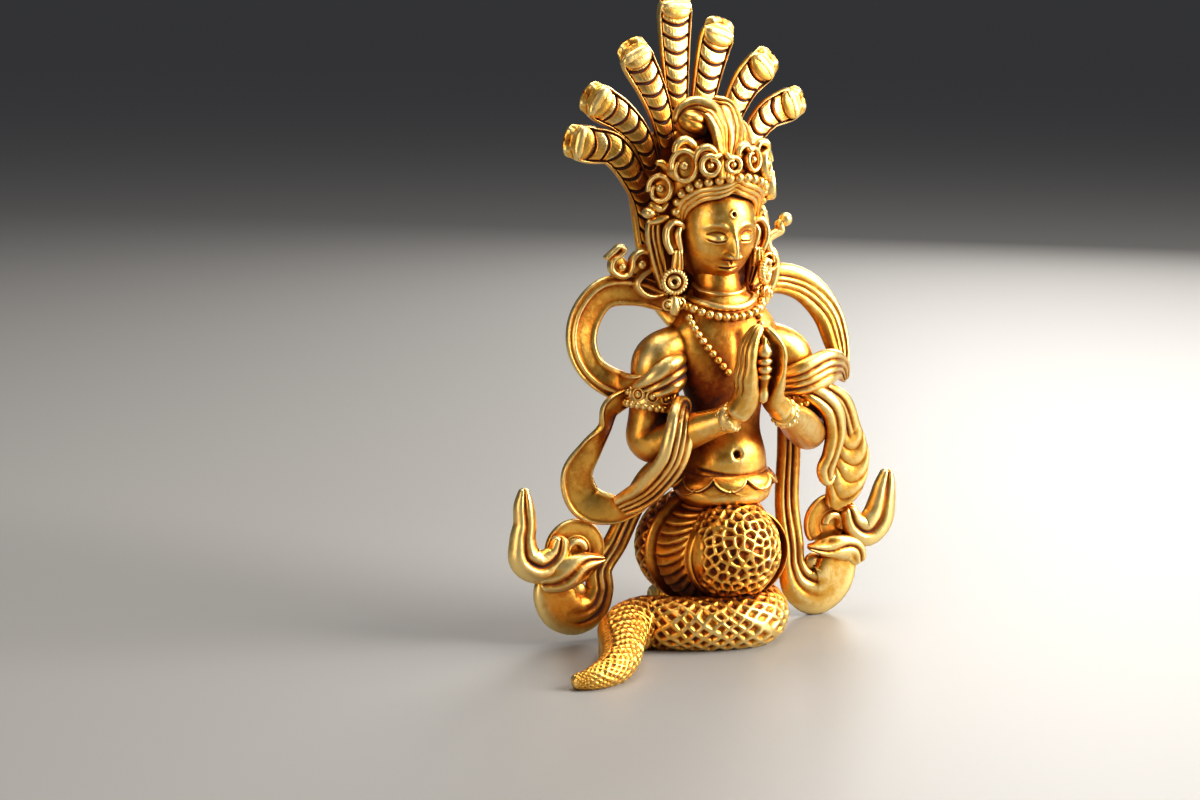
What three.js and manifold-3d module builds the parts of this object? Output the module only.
// A gilt serpent maiden kneeling on her own coiled tail, cast in one piece.
// Millimetres, +Z up, her face looks along -Y and her left hand side is +X.
import * as THREE from 'three';
import { mergeVertices } from 'three/addons/utils/BufferGeometryUtils.js';
import Module from 'manifold-3d';

// Driving sizes of the whole figure.
const FOOT_CENTRE_X = -1.8;
const FOOT_CENTRE_Y = -4.55;
const SOLE_CUT = 0.35;
const SOLE_DEPTH = 6;
const SOLE_REACH = 120;
const WELD = 0.2;

// The lower coil and the tail.
const COIL_TURN = -23;
const COIL_RADIUS = 4.75;
const COIL_SIDES = 10;
const COIL_STEPS = 30;
const SCALE_RELIEF = 0.32;

// The upright turn of the body above the coil: a drum that faces front with a scaled ball in it.
const DRUM_CENTRE_Z = 16.4;
const DRUM_SQUASH = 0.88;
const DRUM_COLUMNS = 26;
const DRUM_DRIFT = -0.19;
const DRUM_CENTRE_X = -1.55;
const RIB_RELIEF = 0.3;
const BALL_RADIUS = 8.9;
const BALL_SHAPE = [1.02, 0.95, 1.03];
const BALL_CENTRE = [-1.1, -4.6, 16.9];
const BALL_COLUMNS = 14;
const BALL_ROWS = 8;

// Head and face: three equal thirds in height and five eye widths across.
const HEAD_CENTRE = [-0.9, 3.6, 74.4];
const HEAD_NOD = 6;
const FACE_HEIGHT = 16.6;
const FACE_WIDTH = 14.6;
const FACE_THIRD = FACE_HEIGHT / 3;
const EYE_WIDTH = FACE_WIDTH / 5;
const HEAD_DEPTH = 16;
const HEAD_HALF_HEIGHT = 1.8 * FACE_THIRD;
const BROW = 1.6;
const NOSE_BASE = BROW - FACE_THIRD;
const MOUTH = NOSE_BASE - FACE_THIRD / 3;
const CHIN = NOSE_BASE - FACE_THIRD;
const HAIRLINE = BROW + FACE_THIRD;
const HAIR_DEPTH = 0.14;
const HEAD_COLUMNS = 18;

// Hands, hoods and cloth.
const HANDS_X = 0.3;
const VESSEL_PLACE = [-1.15, -16.8, 0];
const HOOD_PLATES = 4;
const CLOTH = 1.9;

// The bow behind each hip: its bowl of folds lies about a small hole, its end rolls in a disc.
const BOWL_DEPTH = 8.8;
const DISC_RADIUS = 5.7;
const DISC_SIDES = 14;
const DISC_Y = 5.0;
const DISC_DEPTH = 3.2;

const wasm = await Module();
wasm.setup();

const FRONT = new THREE.Vector3(0, -1, 0);
const UP = new THREE.Vector3(0, 0, 1);
const vec = (p) => new THREE.Vector3(p[0], p[1], p[2]);
const rad = THREE.MathUtils.degToRad;
const bell = (distance, spread) => Math.exp(-((distance / spread) ** 2));
const ramp = (value, from, to) => THREE.MathUtils.smoothstep(value, from, to);

// A closed solid from any closed three.js geometry, its faces turned outwards.
function solid(geometry) {
  const bare = geometry.clone();
  bare.deleteAttribute('normal');
  bare.deleteAttribute('uv');
  const merged = mergeVertices(bare, 1e-4);
  const points = merged.getAttribute('position').array;
  const corners = Array.from(merged.index.array);
  const triangles = [];
  let volume = 0;
  for (let i = 0; i < corners.length; i += 3) {
    const [a, b, c] = corners.slice(i, i + 3);
    if (a !== b && b !== c && c !== a) {
      const [p, q, r] = [a, b, c].map((k) => new THREE.Vector3().fromArray(points, 3 * k));
      volume += p.dot(q.cross(r));
      triangles.push(a, b, c);
    }
  }
  if (volume < 0) triangles.reverse();
  return new wasm.Manifold(new wasm.Mesh({
    numProp: 3,
    tolerance: WELD,
    vertProperties: Float32Array.from(points),
    triVerts: Uint32Array.from(triangles),
  }));
}

// A skin over a stack of outlines with the same number of points, closed at both ends. In a
// netted skin every face is folded along the diagonal that joins its two raised corners.
function skin(outlines, netted = false) {
  const count = outlines[0].length;
  const points = outlines.flat();
  const middle = (outline) => outline
    .reduce((sum, p) => sum.add(p), new THREE.Vector3())
    .divideScalar(count);
  const start = points.push(middle(outlines[0])) - 1;
  const end = points.push(middle(outlines[outlines.length - 1])) - 1;
  const last = (outlines.length - 1) * count;
  const index = [];
  for (let k = 0; k < count; k += 1) {
    const next = (k + 1) % count;
    for (let level = 0; level < outlines.length - 1; level += 1) {
      const row = level * count;
      if (netted && (level + k) % 2 === 0) {
        index.push(row + k, row + next, row + count + k);
        index.push(row + next, row + count + next, row + count + k);
      } else {
        index.push(row + k, row + next, row + count + next);
        index.push(row + k, row + count + next, row + count + k);
      }
    }
    index.push(start, next, k);
    index.push(end, last + k, last + next);
  }
  const geometry = new THREE.BufferGeometry().setFromPoints(points);
  geometry.setIndex(index);
  return geometry;
}

// Smooth curves through the places (x, y, z) and the sizes (three values) of a list of stations.
function curves(stations) {
  const places = new THREE.CatmullRomCurve3(stations.map((s) => vec(s)));
  const sizes = new THREE.CatmullRomCurve3(
    stations.map((s) => new THREE.Vector3(s[3], s[4] ?? s[3], s[5] ?? 0)),
    false,
    'catmullrom',
  );
  return { places, sizes };
}

// A solid drawn along its stations [x, y, z, width, depth, roll]. The outline gives points
// (across, out) for a half width, a half depth and a step; roll in degrees turns its face.
function drawn(stations, steps, outline, facing = FRONT, netted = false) {
  const { places, sizes } = curves(stations);
  const outlines = [];
  for (let step = 0; step <= steps; step += 1) {
    const t = step / steps;
    const centre = places.getPoint(t);
    const along = places.getTangent(t);
    const size = sizes.getPoint(t);
    const out = facing.clone().projectOnPlane(along).normalize();
    out.applyAxisAngle(along, rad(size.z));
    const across = out.clone().cross(along);
    outlines.push(outline(size.x / 2, size.y / 2, step).map(([a, b]) => centre.clone()
      .addScaledVector(across, a)
      .addScaledVector(out, b)));
  }
  return solid(skin(outlines, netted));
}

// An oval outline with a number of sides.
const oval = (sides) => (a, b) => Array.from({ length: sides }, (_, k) => {
  const angle = (2 * Math.PI * k) / sides;
  return [a * Math.sin(angle), b * Math.cos(angle)];
});

// A strip of cloth with rounded folds along its face and a plain back.
const fluted = (folds) => (a, b) => {
  const outline = [[0.6 * a, -b], [-0.6 * a, -b]];
  for (let k = 0; k <= 2 * folds; k += 1) {
    const rim = k === 0 || k === 2 * folds;
    const groove = rim ? -0.2 : 0.05;
    outline.push([-a + (a * k) / folds, b * (k % 2 ? 1 : groove)]);
  }
  return outline;
};

const limb = (stations, steps, sides = 10, facing = FRONT) => drawn(stations, steps, oval(sides), facing);
const ribbon = (stations, steps, folds = 3, facing = FRONT) => drawn(stations, steps, fluted(folds), facing);

// An egg shape: a ball stretched along the three axes, turned and moved.
function egg(place, half, columns = 8, rows = 6, turn = [0, 0, 0]) {
  const geometry = new THREE.SphereGeometry(1, columns, rows).rotateX(Math.PI / 2);
  geometry.scale(half[0], half[1], half[2]);
  geometry.applyMatrix4(new THREE.Matrix4().makeRotationFromEuler(new THREE.Euler(...turn.map(rad))));
  geometry.translate(...place);
  return solid(geometry);
}

// A thin spiral of wire that winds inwards about a boss, in a plane that looks along `facing`.
function scroll(place, radius, wire, facing, start, turns) {
  const out = vec(facing).normalize();
  const side = UP.clone().cross(out).normalize();
  const rise = out.clone().cross(side);
  const rounds = 6;
  const stations = Array.from({ length: rounds }, (_, k) => {
    const t = k / (rounds - 1);
    const angle = rad(start + 360 * turns * t);
    const reach = radius * (1 - 0.62 * t);
    const p = vec(place)
      .addScaledVector(side, reach * Math.cos(angle))
      .addScaledVector(rise, reach * Math.sin(angle));
    return [...p.toArray(), wire * (1 - 0.35 * t)];
  });
  return limb(stations, rounds, 4, out);
}

// The lower coil lies flat on the ground and runs out in front into the tail.
function coil() {
  const stations = [
    [-9.5, 3.5, 4.6, 8.6],
    [-5.5, 8.6, 4.6, 9.2],
    [1.0, 9.6, 4.6, 9.4],
    [6.8, 6.4, 4.6, 9.5],
    [9.1, 0, 4.6, 9.5],
    [6.9, -6.4, 4.6, 9.5],
    [0.5, -9.0, 4.6, 9.5],
    [-6.5, -9.2, 4.6, 9.5],
    [-12.4, -8.4, 4.6, 9.4],
    [-16.0, -12.4, 4.4, 9.0],
    [-16.8, -18.2, 4.0, 8.2],
    [-17.0, -24.4, 3.5, 7.2],
    [-18.2, -30.4, 2.8, 5.8],
    [-21.6, -34.2, 2.1, 4.0],
    [-25.4, -35.2, 1.6, 2.2],
  ];
  const netted = (a, b, step) => oval(COIL_SIDES)(a, b).map(([x, y], k) => {
    const relief = (k + step) % 2 ? SCALE_RELIEF : -SCALE_RELIEF;
    const swell = 1 + (relief * Math.min(1, a / COIL_RADIUS)) / COIL_RADIUS;
    return [x * swell, y * swell];
  });
  return drawn(stations, COIL_STEPS, netted, UP, true).rotate([0, 0, COIL_TURN]).translate([-2.5, 0, 0]);
}

// The drum is turned about the front-to-back line: rim, ribbed belly band, rim, scaled back.
function drum() {
  const profile = [
    [8.6, -6.4], [9.9, -6.4], [9.9, -5.2], [10.2, -4.6], [11.9, 0.9],
    [12.8, 1.5], [12.8, 2.8], [12.1, 3.6], [11.0, 7.8], [6.6, 11.2],
  ];
  const ribbed = [3, 4];
  const outlines = profile.map(([radius, y], row) => Array.from({ length: DRUM_COLUMNS }, (_, column) => {
    const rib = ribbed.includes(row) ? RIB_RELIEF * (column % 2 ? 1 : -1) : 0;
    const angle = (2 * Math.PI * column) / DRUM_COLUMNS;
    const r = radius + rib;
    return new THREE.Vector3(
      DRUM_CENTRE_X + DRUM_DRIFT * y + r * Math.sin(angle),
      y,
      DRUM_CENTRE_Z + DRUM_SQUASH * r * Math.cos(angle),
    );
  }));
  return solid(skin(outlines));
}

// The scaled ball that fills the front of the drum.
function ball() {
  const outlines = Array.from({ length: BALL_ROWS - 1 }, (_, row) => {
    const tilt = (Math.PI * (row + 1)) / BALL_ROWS;
    return Array.from({ length: BALL_COLUMNS }, (_, column) => {
      const turn = (2 * Math.PI * column) / BALL_COLUMNS;
      const r = BALL_RADIUS + SCALE_RELIEF * ((column + row) % 2 ? 1 : -1);
      return new THREE.Vector3().setFromSphericalCoords(r, tilt, turn)
        .applyAxisAngle(new THREE.Vector3(1, 0, 0), Math.PI / 2)
        .multiply(vec(BALL_SHAPE))
        .add(vec(BALL_CENTRE));
    });
  });
  return solid(skin(outlines, true));
}

// Hip roll, belly, chest and shoulders as oval rings from hips to neck.
function torso() {
  const stations = [
    [-0.4, 0.8, 23.0, 16.0, 13.0],
    [-0.4, 0.5, 26.2, 17.4, 15.0],
    [-0.4, 0.5, 28.6, 19.6, 16.8],
    [-0.3, 0.2, 31.2, 15.8, 13.6],
    [-0.2, -0.2, 34.0, 15.0, 13.0],
    [-0.1, 0.2, 38.5, 13.0, 10.8],
    [-0.1, 0.6, 43.5, 14.4, 11.0],
    [-0.1, 0.9, 48.5, 17.6, 12.4],
    [-0.2, 1.3, 53.0, 21.0, 12.6],
    [-0.4, 1.6, 57.0, 20.4, 11.8],
    [-0.6, 2.0, 60.0, 16.0, 11.2],
    [-0.7, 2.6, 62.0, 11.6, 10.0],
    [-0.8, 3.0, 64.0, 8.8, 8.8],
    [-0.9, 3.4, 69.0, 8.0, 8.0],
  ];
  return limb(stations, 13, 10);
}

// One arm from the shoulder down to the bent elbow and forward to the wrist, with a raised
// armlet above the elbow and a bracelet at the wrist.
function arm(shoulder, elbow, wrist) {
  const [s, e, w] = [shoulder, elbow, wrist].map(vec);
  const at = (a, b, t, width) => [...a.clone().lerp(b, t).toArray(), width];
  const inside = s.clone().lerp(new THREE.Vector3(0, 2, 57.6), 0.5);
  return limb([
    [...inside.toArray(), 6.6],
    at(s, e, 0.04, 8.4),
    at(s, e, 0.34, 7.6),
    at(s, e, 0.50, 7.6),
    at(s, e, 0.54, 9.4),
    at(s, e, 0.64, 9.4),
    at(s, e, 0.68, 7.0),
    at(s, e, 0.90, 6.6),
    at(e, w, 0.10, 6.8),
    at(e, w, 0.45, 6.6),
    at(e, w, 0.78, 5.2),
    at(e, w, 0.86, 6.6),
    at(e, w, 1.00, 6.4),
    at(e, w, 1.06, 4.2),
  ], 13, 8, new THREE.Vector3(1, 0, 0));
}

// The hands, held upright: heels and finger tips meet and the palms stand apart. Four fingers lie
// side by side on the back of each, and its thumb is on the chest side.
function hands() {
  const fingered = (side) => (a, b) => [
    [a, -0.9 * b], [a, 0.9 * b],
    ...[0.8, 0.4, 0.13, -0.13, -0.4, -0.8].map((level, k) => [k % 2 ? -0.6 * a : -a, level * b]),
  ].map(([across, level]) => [side * -across, level]);
  const right = drawn([
    [-4.9, -12.8, 43.0, 4.2, 4.4],
    [-3.5, -14.6, 46.4, 4.4, 5.0],
    [-4.1, -15.9, 50.4, 3.3, 5.8],
    [-4.2, -16.3, 54.0, 2.5, 5.6],
    [-3.6, -16.4, 56.8, 2.2, 4.8],
    [-2.4, -16.4, 58.6, 1.8, 3.4],
    [-1.5, -16.4, 59.4, 1.2, 2.2],
  ], 6, fingered(-1));
  const left = drawn([
    [5.1, -12.8, 43.0, 4.0, 4.4],
    [1.9, -14.6, 46.2, 3.8, 5.0],
    [1.7, -15.9, 49.6, 2.2, 5.6],
    [2.0, -16.3, 52.8, 1.6, 5.6],
    [1.8, -16.5, 55.6, 1.6, 5.0],
    [0.6, -16.5, 57.6, 1.7, 4.0],
    [-0.8, -16.4, 59.0, 1.2, 2.4],
  ], 6, fingered(1));
  const thumbs = [
    limb([[-3.3, -13.2, 47.0, 2.4], [-2.6, -12.6, 51.4, 2.1], [-1.6, -12.8, 54.6, 1.4]], 3, 5),
    limb([[1.9, -13.2, 46.8, 2.4], [1.0, -12.6, 51.2, 2.1], [0.0, -12.8, 54.4, 1.4]], 3, 5),
  ];
  return [right, left, ...thumbs];
}

// The ringed vessel held upright between the palms.
function vessel() {
  const profile = [
    [0, 45.6], [1.1, 46.8], [1.4, 50.6], [1.2, 51.4], [1.6, 52.8], [1.2, 54.0], [1.5, 55.0], [0, 58.0],
  ];
  const geometry = new THREE.LatheGeometry(profile.map(([r, z]) => new THREE.Vector2(r, z)), 6);
  return solid(geometry.rotateX(Math.PI / 2).translate(...VESSEL_PLACE));
}

// How far the face stands out of the plain head, for x across and z up from the eye line.
function faceRelief(x, z) {
  const side = Math.abs(x);
  const bridge = ramp(z, NOSE_BASE - 0.5, NOSE_BASE + 0.35) * (1 - ramp(z, 0.2, 2.4));
  const slope = 0.9 + 1.7 * (1 - ramp(z, NOSE_BASE, 1.4));
  const nose = bridge * slope * bell(x, 1.1 + 0.4 * bell(z - NOSE_BASE, 1.2));
  const socket = -0.9 * bell(side - EYE_WIDTH, 1.7) * bell(z - 0.4, 1.1);
  const lid = 0.8 * bell(side - EYE_WIDTH, 1.35) * bell(z + 0.2, 0.7);
  const brow = 0.45 * bell(z - BROW + 0.05 * side * side, 0.6) * bell(side - EYE_WIDTH, 2.3);
  const lips = 0.8 * bell(x, 1.9) * (bell(z - MOUTH - 0.5, 0.45) + bell(z - MOUTH + 0.6, 0.5));
  const jaw = 0.9 * bell(x, 1.9) * bell(z - CHIN - 0.7, 1.1);
  const hollow = -0.35 * bell(x, 2.2) * bell(z - (MOUTH + CHIN) / 2, 0.5);
  return nose + socket + lid + brow + lips + jaw + hollow;
}

// The head in level rings, close together where the features are, with a jaw that narrows to
// the chin and the hair standing off it above an arched hairline and behind the ears.
function head() {
  const levels = [
    CHIN - 0.4, CHIN + 0.6, (MOUTH + CHIN) / 2, MOUTH - 0.6, MOUTH, MOUTH + 0.5, NOSE_BASE - 0.3,
    NOSE_BASE + 0.4, -1.4, -0.3, 0.6, BROW, 3.6, HAIRLINE, 1.7 * FACE_THIRD,
  ];
  const outlines = levels.map((z) => Array.from({ length: HEAD_COLUMNS }, (_, column) => {
    const turn = (2 * Math.PI * column) / HEAD_COLUMNS - Math.PI;
    const gathered = turn - 0.5 * Math.sin(turn);
    const height = z / HEAD_HALF_HEIGHT;
    const level = Math.sqrt(1 - height ** 2);
    const front = Math.max(0, Math.cos(gathered));
    const below = Math.max(0, -height);
    const x = (FACE_WIDTH / 2) * level * Math.sin(gathered) * (1 - 0.3 * below ** 2.2);
    const flat = -(HEAD_DEPTH / 2) * level * Math.cos(gathered) * (1 - 0.12 * below);
    const dressed = ramp(z - HAIRLINE + 0.09 * x * x, -0.5, 0.7) + (1 - ramp(front, 0, 0.35));
    const swell = 1 + HAIR_DEPTH * Math.min(1, dressed);
    return new THREE.Vector3(x * swell, flat * swell - front ** 0.5 * faceRelief(x, z), z)
      .applyAxisAngle(new THREE.Vector3(1, 0, 0), rad(HEAD_NOD))
      .add(vec(HEAD_CENTRE));
  }));
  return solid(skin(outlines));
}

// A long ear, its lobe stretched by a disc with a petalled rim, and a hanging rosette.
function earring(side) {
  const x = HEAD_CENTRE[0] + side * 8.1;
  const ear = limb([
    [x - side * 0.4, 3.2, 77.0, 1.6, 1.6],
    [x, 2.6, 75.0, 2.9, 1.8],
    [x, 2.2, 71.4, 2.2, 1.8],
    [x, 1.8, 67.4, 2.8, 1.9],
  ], 3, 5);
  const petals = new THREE.CylinderGeometry(2.5, 2.5, 1.6, 9);
  const drop = limb([
    [x + side * 0.1, 0.6, 63.8, 1.8],
    [x + side * 0.3, 0, 61.4, 3.4, 2.8],
    [x + side * 0.3, 0.4, 59.4, 1.4],
  ], 2, 5);
  return [ear, solid(petals.translate(x, 0.4, 65.6)), drop];
}

// The dressed hair: grooved locks behind the ears, a bun that leans to one side, and two broad
// locks that come over from behind it and run down to a point above the brow.
function hair() {
  const [x, y, z] = HEAD_CENTRE;
  const locks = (side) => ribbon([
    [x + side * 8.0, y + 2.8, z + 4, 3.4, 4.4, side * 60],
    [x + side * 9.6, y + 3.2, z - 2, 3.8, 3.6, side * 60],
    [x + side * 9.4, y + 3.8, z - 12, 3.2, 2.8, side * 60],
  ], 3, 2);
  return [
    locks(-1),
    locks(1),
    egg([x - 4.8, y - 0.2, z + 18.4], [2.8, 3.2, 3.0], 8, 5, [0, -35, 0]),
    egg([x - 1.7, y + 2.8, z + 15.0], [4.4, 4.6, 5.0], 8, 5, [0, -12, 0]),
    ribbon([
      [-8.0, 4.2, 93.8, 2.0],
      [-4.8, 3.8, 96.4, 3.4, 2.4],
      [-2.7, 2.4, 95.2, 4.2, 2.4],
      [-2.4, -0.4, 92.6, 3.6, 2.4],
      [-3.2, -3.2, 89.8, 2.5, 2.0],
      [-4.0, -5.6, 87.2, 1.7, 1.8],
    ], 6, 1),
    ribbon([
      [-0.6, 6.2, 97.0, 2.4, 2.0],
      [1.4, 4.4, 95.8, 3.6, 2.4],
      [1.5, 1.8, 93.4, 4.2, 2.4],
      [0.3, -1.6, 90.6, 3.4, 2.4],
      [-1.4, -4.3, 88.2, 2.5, 2.0],
      [-2.8, -6.0, 86.0, 1.6, 1.6],
    ], 5, 1),
  ];
}

// The crown: a rolled band over the brow, a row of scrolls on it, and a knot at its right end.
function crown() {
  const [x, y, z] = HEAD_CENTRE;
  const band = ribbon([
    [x - 9.2, y + 2.2, z + 4.0, 5.6, 2.4, 90],
    [x - 8.2, y - 2.4, z + 8.6, 7.0, 2.8, 90],
    [x, y - 7.2, z + 11.0, 7.0, 3.0, 90],
    [x + 8.2, y - 2.4, z + 8.6, 7.0, 2.8, 90],
    [x + 9.2, y + 2.2, z + 4.0, 5.6, 2.4, 90],
  ], 8, 2, UP);
  const scrolls = [
    scroll([x - 11.2, y - 0.8, z + 7.6], 2.3, 1.8, [-0.6, -0.8, 0.1], 200, -0.95),
    scroll([x - 8.3, y - 4.4, z + 11.4], 2.4, 1.8, [-0.5, -0.87, 0.1], 200, -0.95),
    scroll([x - 4.8, y - 8.4, z + 12.2], 1.9, 1.6, [-0.35, -0.93, 0.1], 60, 0.95),
    scroll([x + 3.1, y - 8.2, z + 12.6], 1.9, 1.6, [0.4, -0.9, 0.1], 120, -0.95),
    scroll([x + 6.6, y - 6.2, z + 11.8], 2.2, 1.8, [0.8, -0.7, 0.1], 0, 0.95),
    scroll([x + 9.8, y - 1.8, z + 7.6], 2.3, 1.8, [1, -0.4, 0.1], 0, 0.95),
  ];
  const bow = limb([
    [x - 9.0, y, z + 2.4, 2.0],
    [x - 12.0, y - 0.6, z + 3.0, 3.6, 2.0],
    [x - 13.8, y - 0.4, z + 3.4, 1.6],
  ], 3, 6);
  return [band, ...scrolls, bow];
}

// The broad stem behind the head that the seven hoods grow from.
function stem() {
  return limb([
    [-0.8, 5.0, 56.0, 15.0, 5.0],
    [-1.0, 8.6, 61.0, 20.0, 6.4],
    [-1.4, 10.8, 68.0, 22.4, 6.6],
    [-1.8, 11.8, 76.0, 23.4, 6.0],
    [-2.2, 12.4, 84.0, 24.0, 5.2],
    [-2.6, 12.8, 92.0, 19.0, 4.4],
  ], 4, 8);
}

// A serpent's hood: a strip with a raised rim on both sides and stepped belly plates between,
// which ends in a rounded head bent forward over a smooth throat.
function hood(root, bend, neck, tip, width) {
  const plated = (a, b, step) => {
    if (step > HOOD_PLATES * 2) {
      return [[-0.8 * a, -b], [-a, 0.4 * b], [-0.4 * a, b], [0.4 * a, b], [a, 0.4 * b], [0.8 * a, -b]];
    }
    const floor = (step % 2 ? 0.75 : -0.1) * b;
    return [[-0.8 * a, -b], [-a, b], [-0.6 * a, floor], [0.6 * a, floor], [a, b], [0.8 * a, -b]];
  };
  const [n, t] = [vec(neck), vec(tip)];
  const up = t.clone().sub(n).normalize();
  const along = (reach, out) => t.clone().addScaledVector(up, reach).addScaledVector(FRONT, out).toArray();
  return drawn([
    [...root, 0.5 * width, 2.6],
    [...bend, 0.7 * width, 2.8],
    [...neck, 0.9 * width, 3.0],
    [...n.clone().lerp(t, 0.55).toArray(), width, 3.2],
    [...along(-1.4, 0.5), 0.92 * width, 4.4],
    [...along(1.4, 2.2), 0.42 * width, 2.0],
  ], 2 * HOOD_PLATES + 2, plated);
}

function hoods() {
  return [
    hood([-11.0, 10.4, 71.0], [-12.4, 10.6, 80.6], [-17.4, 11.6, 88.4], [-25.4, 12.4, 90.2], 6.6),
    hood([-9.6, 10.8, 82.6], [-12.0, 11.4, 90.0], [-15.8, 12.2, 94.4], [-21.6, 12.8, 98.0], 6.6),
    hood([-6.9, 11.2, 88.0], [-8.0, 11.8, 94.6], [-9.9, 12.6, 100.0], [-13.3, 13.4, 106.6], 6.5),
    hood([-4.2, 12.0, 92.0], [-4.5, 12.6, 99.0], [-4.5, 13.4, 107.0], [-4.3, 14.2, 115.4], 6.8),
    hood([-0.9, 11.8, 88.4], [0.6, 12.6, 96.0], [2.4, 13.2, 103.2], [4.6, 13.8, 110.4], 6.7),
    hood([3.9, 11.6, 87.6], [6.4, 12.2, 94.2], [9.4, 12.6, 99.6], [14.2, 13.2, 104.2], 6.5),
    hood([7.6, 11.2, 84.0], [10.2, 11.8, 89.8], [14.0, 12.2, 94.0], [20.4, 12.8, 96.6], 6.3),
  ];
}

// The scarf: a loop behind each shoulder that comes forward and wraps the upper arm.
function scarfLoops() {
  return [
    ribbon([
      [-9.0, 6.0, 61.6, 4.8, CLOTH],
      [-14.6, 7.4, 63.4, 5.2, CLOTH],
      [-20.6, 8.0, 63.0, 5.2, CLOTH],
      [-24.2, 8.0, 59.0, 5.4, CLOTH],
      [-24.9, 7.2, 54.0, 4.8, CLOTH],
      [-22.8, 5.4, 49.6, 5.6, CLOTH, 10],
      [-18.4, 0.6, 48.0, 6.2, CLOTH, 15],
      [-13.8, -3.4, 49.2, 6.4, CLOTH, 10],
      [-11.4, -2.2, 50.6, 5.0, CLOTH],
    ], 10),
    ribbon([
      [8.0, 6.0, 62.0, 4.8, CLOTH],
      [13.0, 7.4, 64.2, 5.6, CLOTH],
      [19.4, 8.0, 62.6, 6.0, CLOTH],
      [24.4, 8.0, 57.6, 6.0, CLOTH],
      [26.4, 7.2, 51.6, 5.2, CLOTH],
      [27.0, 5.6, 45.6, 2.2, CLOTH],
    ], 7),
    ribbon([
      [27.0, 5.6, 45.0, 2.0, CLOTH],
      [24.6, 2.4, 47.4, 4.4, CLOTH],
      [19.4, -2.6, 48.6, 6.6, CLOTH],
      [13.6, -3.4, 47.4, 6.0, CLOTH],
      [11.4, -1.6, 45.8, 4.0, CLOTH],
    ], 4),
  ];
}

// The scarf's ends: folds over the forearm, a deep curve below it and a twist up to the armlet.
function drapes() {
  return [
    ribbon([
      [-10.4, -1.2, 41.8, 3.6, CLOTH, -12],
      [-10.9, -3.8, 43.4, 4.8, 2.2, -12],
      [-12.0, -6.8, 42.4, 6.0, 2.6, -12],
      [-13.2, -8.0, 38.8, 6.6, 2.8, -12],
      [-14.2, -7.2, 34.8, 6.4, 2.8, -10],
      [-16.2, -4.6, 30.6, 6.0, 2.6, -4],
      [-18.2, -1.4, 27.4, 5.6, 2.4],
      [-20.6, 1.2, 25.2, 4.6, CLOTH],
    ], 7),
    ribbon([
      [-16.8, -1.6, 26.6, 3.0, CLOTH],
      [-21.2, 2.0, 24.8, 5.4, 2.2],
      [-25.8, 4.0, 26.2, 6.6, 2.2],
      [-27.4, 4.4, 31.0, 6.2, CLOTH],
      [-24.8, 4.2, 35.8, 4.4, CLOTH],
      [-22.4, 3.6, 39.6, 3.4, CLOTH, 35],
      [-21.6, 2.6, 43.2, 3.8, CLOTH, 10],
      [-17.6, 2.6, 45.4, 3.4, CLOTH],
    ], 9, 2),
    ribbon([
      [14.8, -2.4, 44.6, 3.8, 2.4],
      [19.4, -3.4, 41.6, 4.4, 2.4],
      [21.2, -2.4, 36.8, 4.2, 2.4],
      [20.6, -1.8, 32.2, 3.4, 2.2],
      [20.0, -1.2, 28.4, 3.0, 2.0],
    ], 6, 2),
    ribbon([
      [18.4, -2.2, 45.0, 3.0, CLOTH],
      [23.4, -0.4, 41.6, 4.2, CLOTH],
      [26.2, 1.6, 36.0, 5.2, 2.2],
      [27.6, 3.0, 29.8, 7.6, 2.6],
      [26.2, 3.4, 24.4, 7.4, 2.6],
      [24.2, 4.6, 20.0, 3.8, 2.4],
    ], 8, 2),
  ];
}

// The long strap that falls behind each hip turns outwards round a small hole in a bowl of folds
// and ends under a pointed flap. Above it the end rolls over in a disc and stands up in a flame.
function swirl(side, hole, deep, strap, disc, flap, flame) {
  const at = ([out, rise, y, width, depth = 2.4]) => [hole[0] + side * out, y, hole[1] + rise, width, depth];
  const more = (deep - BOWL_DEPTH) / 2;
  const bowl = ribbon([
    ...strap,
    ...[
      [-3.9, 2.8, 5.2, 5.2],
      [-3.8, -1.0, 5.0, 5.6, 2.8],
      [-2.2, -3.9 - 0.6 * more, 4.8, 6.8 + more, 3.0],
      [0.9, -4.9 - more, 4.5, 7.7 + 2 * more, 3.2],
      [4.0, -3.4 - 0.8 * more, 4.3, 8.2 + more, 3.2],
      [5.3, 0, 4.3, 8.0, 3.0],
      [4.5, 3.2, 4.4, 6.2],
    ].map(at),
  ], 2 * strap.length + 9, 3);
  const centre = at([...disc, DISC_Y, 0]).slice(0, 3);
  const rolled = new THREE.CylinderGeometry(DISC_RADIUS, DISC_RADIUS, DISC_DEPTH, DISC_SIDES);
  return [
    bowl,
    solid(rolled.translate(...centre)),
    ribbon(flap.map(at), 4, 1),
    ribbon(flame.map(at), 7, 1),
  ];
}

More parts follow.
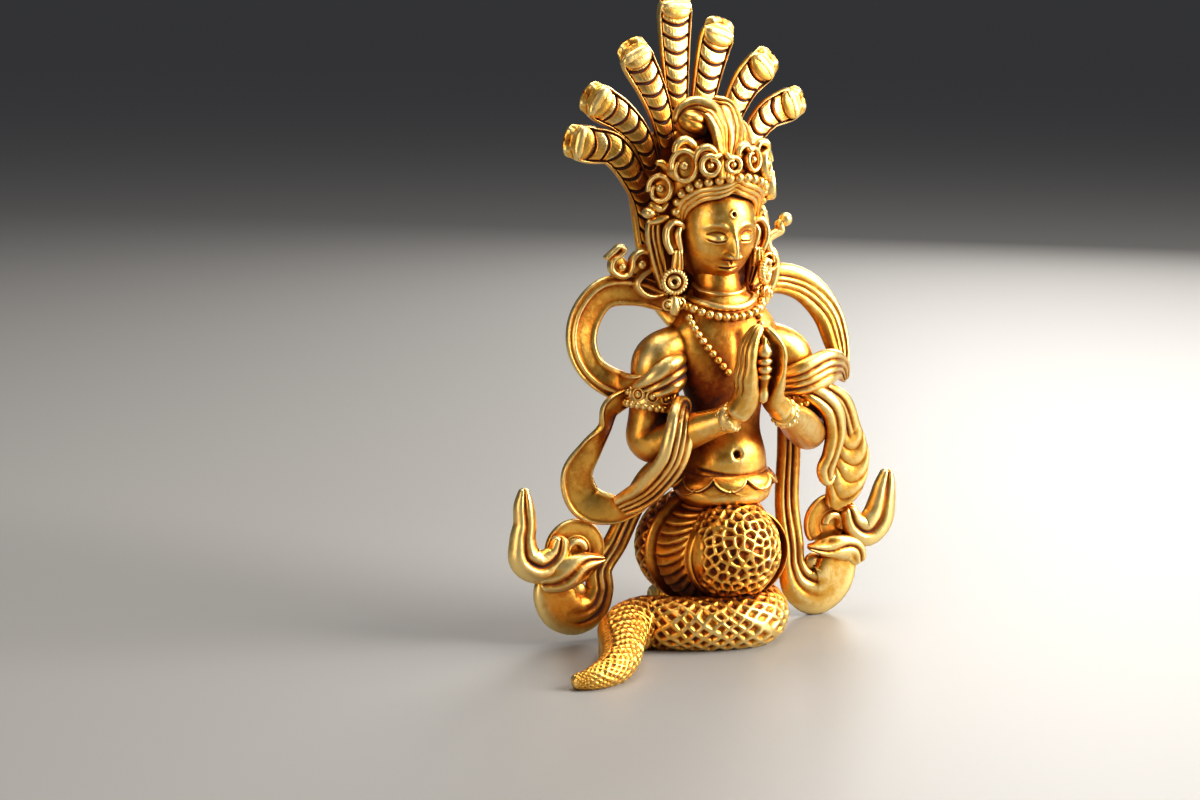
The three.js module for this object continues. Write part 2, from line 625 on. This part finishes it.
function straps() {
  const right = swirl(-1, [-26.6, 10.4], BOWL_DEPTH, [
    [-6.4, 3.0, 34.0, 3.6, 2.4],
    [-12.6, 5.0, 30.0, 4.2, 2.4],
    [-16.4, 5.6, 23.4, 4.6, 2.4],
    [-19.2, 6.0, 17.6, 4.8, 2.4],
  ], [1.1, 6.9], [
    [8.6, 2.2, 3.6, 3.0],
    [5.8, 3.0, 3.2, 4.8],
    [2.6, 3.8, 2.8, 5.0],
    [-0.8, 4.7, 2.8, 3.6],
    [-3.8, 5.4, 3.4, 1.2],
  ], [
    [4.4, 10.2, 3.6, 2.8],
    [5.2, 6.6, 3.4, 4.2],
    [8.4, 4.4, 3.4, 4.8, 2.8],
    [11.4, 6.0, 3.6, 5.0, 3.0],
    [11.6, 9.8, 4.0, 4.2, 3.0],
    [10.9, 12.6, 4.2, 3.6, 2.8],
    [11.0, 16.4, 4.4, 3.2, 2.4],
    [10.9, 19.3, 4.6, 1.4, 1.4],
  ]);
  const left = swirl(1, [20.3, 11.2], BOWL_DEPTH + 2.2, [
    [14.6, 4.0, 41.0, 4.2, 2.4],
    [16.0, 6.0, 32.0, 4.8, 2.4],
    [15.8, 6.0, 22.0, 5.0, 2.4],
  ], [4.4, 6.4], [
    [9.8, -1.4, 3.6, 3.0],
    [8.2, 1.0, 3.0, 4.8],
    [4.8, 2.2, 2.6, 4.8],
    [1.4, 2.4, 2.8, 3.2],
    [-1.4, 2.6, 3.4, 1.2],
  ], [
    [7.0, 9.6, 3.6, 3.0],
    [8.6, 5.6, 3.4, 4.4],
    [11.2, 3.9, 3.4, 5.0, 2.8],
    [13.8, 6.0, 3.6, 5.2, 3.0],
    [15.0, 9.8, 4.0, 4.2, 3.0],
    [15.6, 13.0, 4.4, 3.6, 2.6],
    [16.2, 16.2, 4.6, 1.6, 1.4],
  ]);
  return [...right, ...left];
}

// Small curls of ribbon that stand on the loops beside the head.
function sideCurls() {
  return [
    limb([
      [-14.0, 7.0, 61.0, 2.0],
      [-15.6, 7.0, 63.8, 2.2],
      [-13.8, 7.0, 66.6, 2.0],
      [-16.0, 7.0, 68.4, 2.0],
      [-18.0, 7.0, 65.6, 2.0],
      [-20.0, 7.0, 66.0, 2.0],
      [-18.8, 7.0, 69.4, 1.8],
      [-21.0, 7.0, 70.6, 1.8],
      [-22.4, 7.0, 68.8, 1.4],
    ], 10, 4),
    limb([
      [11.2, 7.0, 62.6, 3.4],
      [11.2, 7.0, 66.6, 3.8],
      [12.6, 7.0, 70.0, 2.4],
      [14.2, 6.8, 73.2, 1.8],
      [15.0, 6.4, 75.0, 2.4],
    ], 4, 5),
  ];
}

// The roll of the choker round the neck.
function choker() {
  return limb([
    [-7.0, 0.4, 60.2, 2.0],
    [-4.2, -3.4, 57.6, 2.4],
    [-0.6, -4.6, 56.6, 2.4],
    [3.0, -3.6, 57.6, 2.4],
    [5.8, -0.2, 60.2, 2.0],
  ], 6, 5);
}

// Everything below the sole is cut away, so that coil and tail lie on one level.
function ground() {
  return solid(new THREE.BoxGeometry(SOLE_REACH, SOLE_REACH, SOLE_DEPTH)
    .translate(0, 0, SOLE_CUT - SOLE_DEPTH / 2));
}

function figure() {
  const parts = [
    coil(),
    drum(),
    ball(),
    torso(),
    arm([-13.0, 1.6, 52.4], [-16.0, 1.0, 36.0], [HANDS_X - 5.0, -12.4, 43.0]),
    arm([12.8, 1.6, 51.8], [18.0, 1.2, 36.0], [HANDS_X + 5.0, -12.4, 43.0]),
    ...hands(),
    vessel(),
    head(),
    ...earring(-1),
    ...earring(1),
    ...hair(),
    ...crown(),
    stem(),
    ...hoods(),
    ...scarfLoops(),
    ...drapes(),
    ...straps(),
    ...sideCurls(),
    choker(),
  ];
  const whole = parts.reduce((sum, one) => sum.add(one));
  return whole.subtract(ground()).translate([-FOOT_CENTRE_X, -FOOT_CENTRE_Y, -SOLE_CUT]);
}

// Back from a solid to a three.js geometry with normals.
function geometryOf(shape) {
  const mesh = shape.getMesh();
  const geometry = new THREE.BufferGeometry();
  geometry.setAttribute('position', new THREE.BufferAttribute(mesh.vertProperties, mesh.numProp));
  geometry.setIndex(new THREE.BufferAttribute(mesh.triVerts, 1));
  geometry.computeVertexNormals();
  return geometry;
}

const gilding = new THREE.MeshStandardMaterial({ color: 0xd9a441, roughness: 0.32, metalness: 1 });

const model = new THREE.Group();
const casting = new THREE.Mesh(geometryOf(figure()), gilding);
casting.name = 'naga_kanya_figure';
model.add(casting);

export default model;
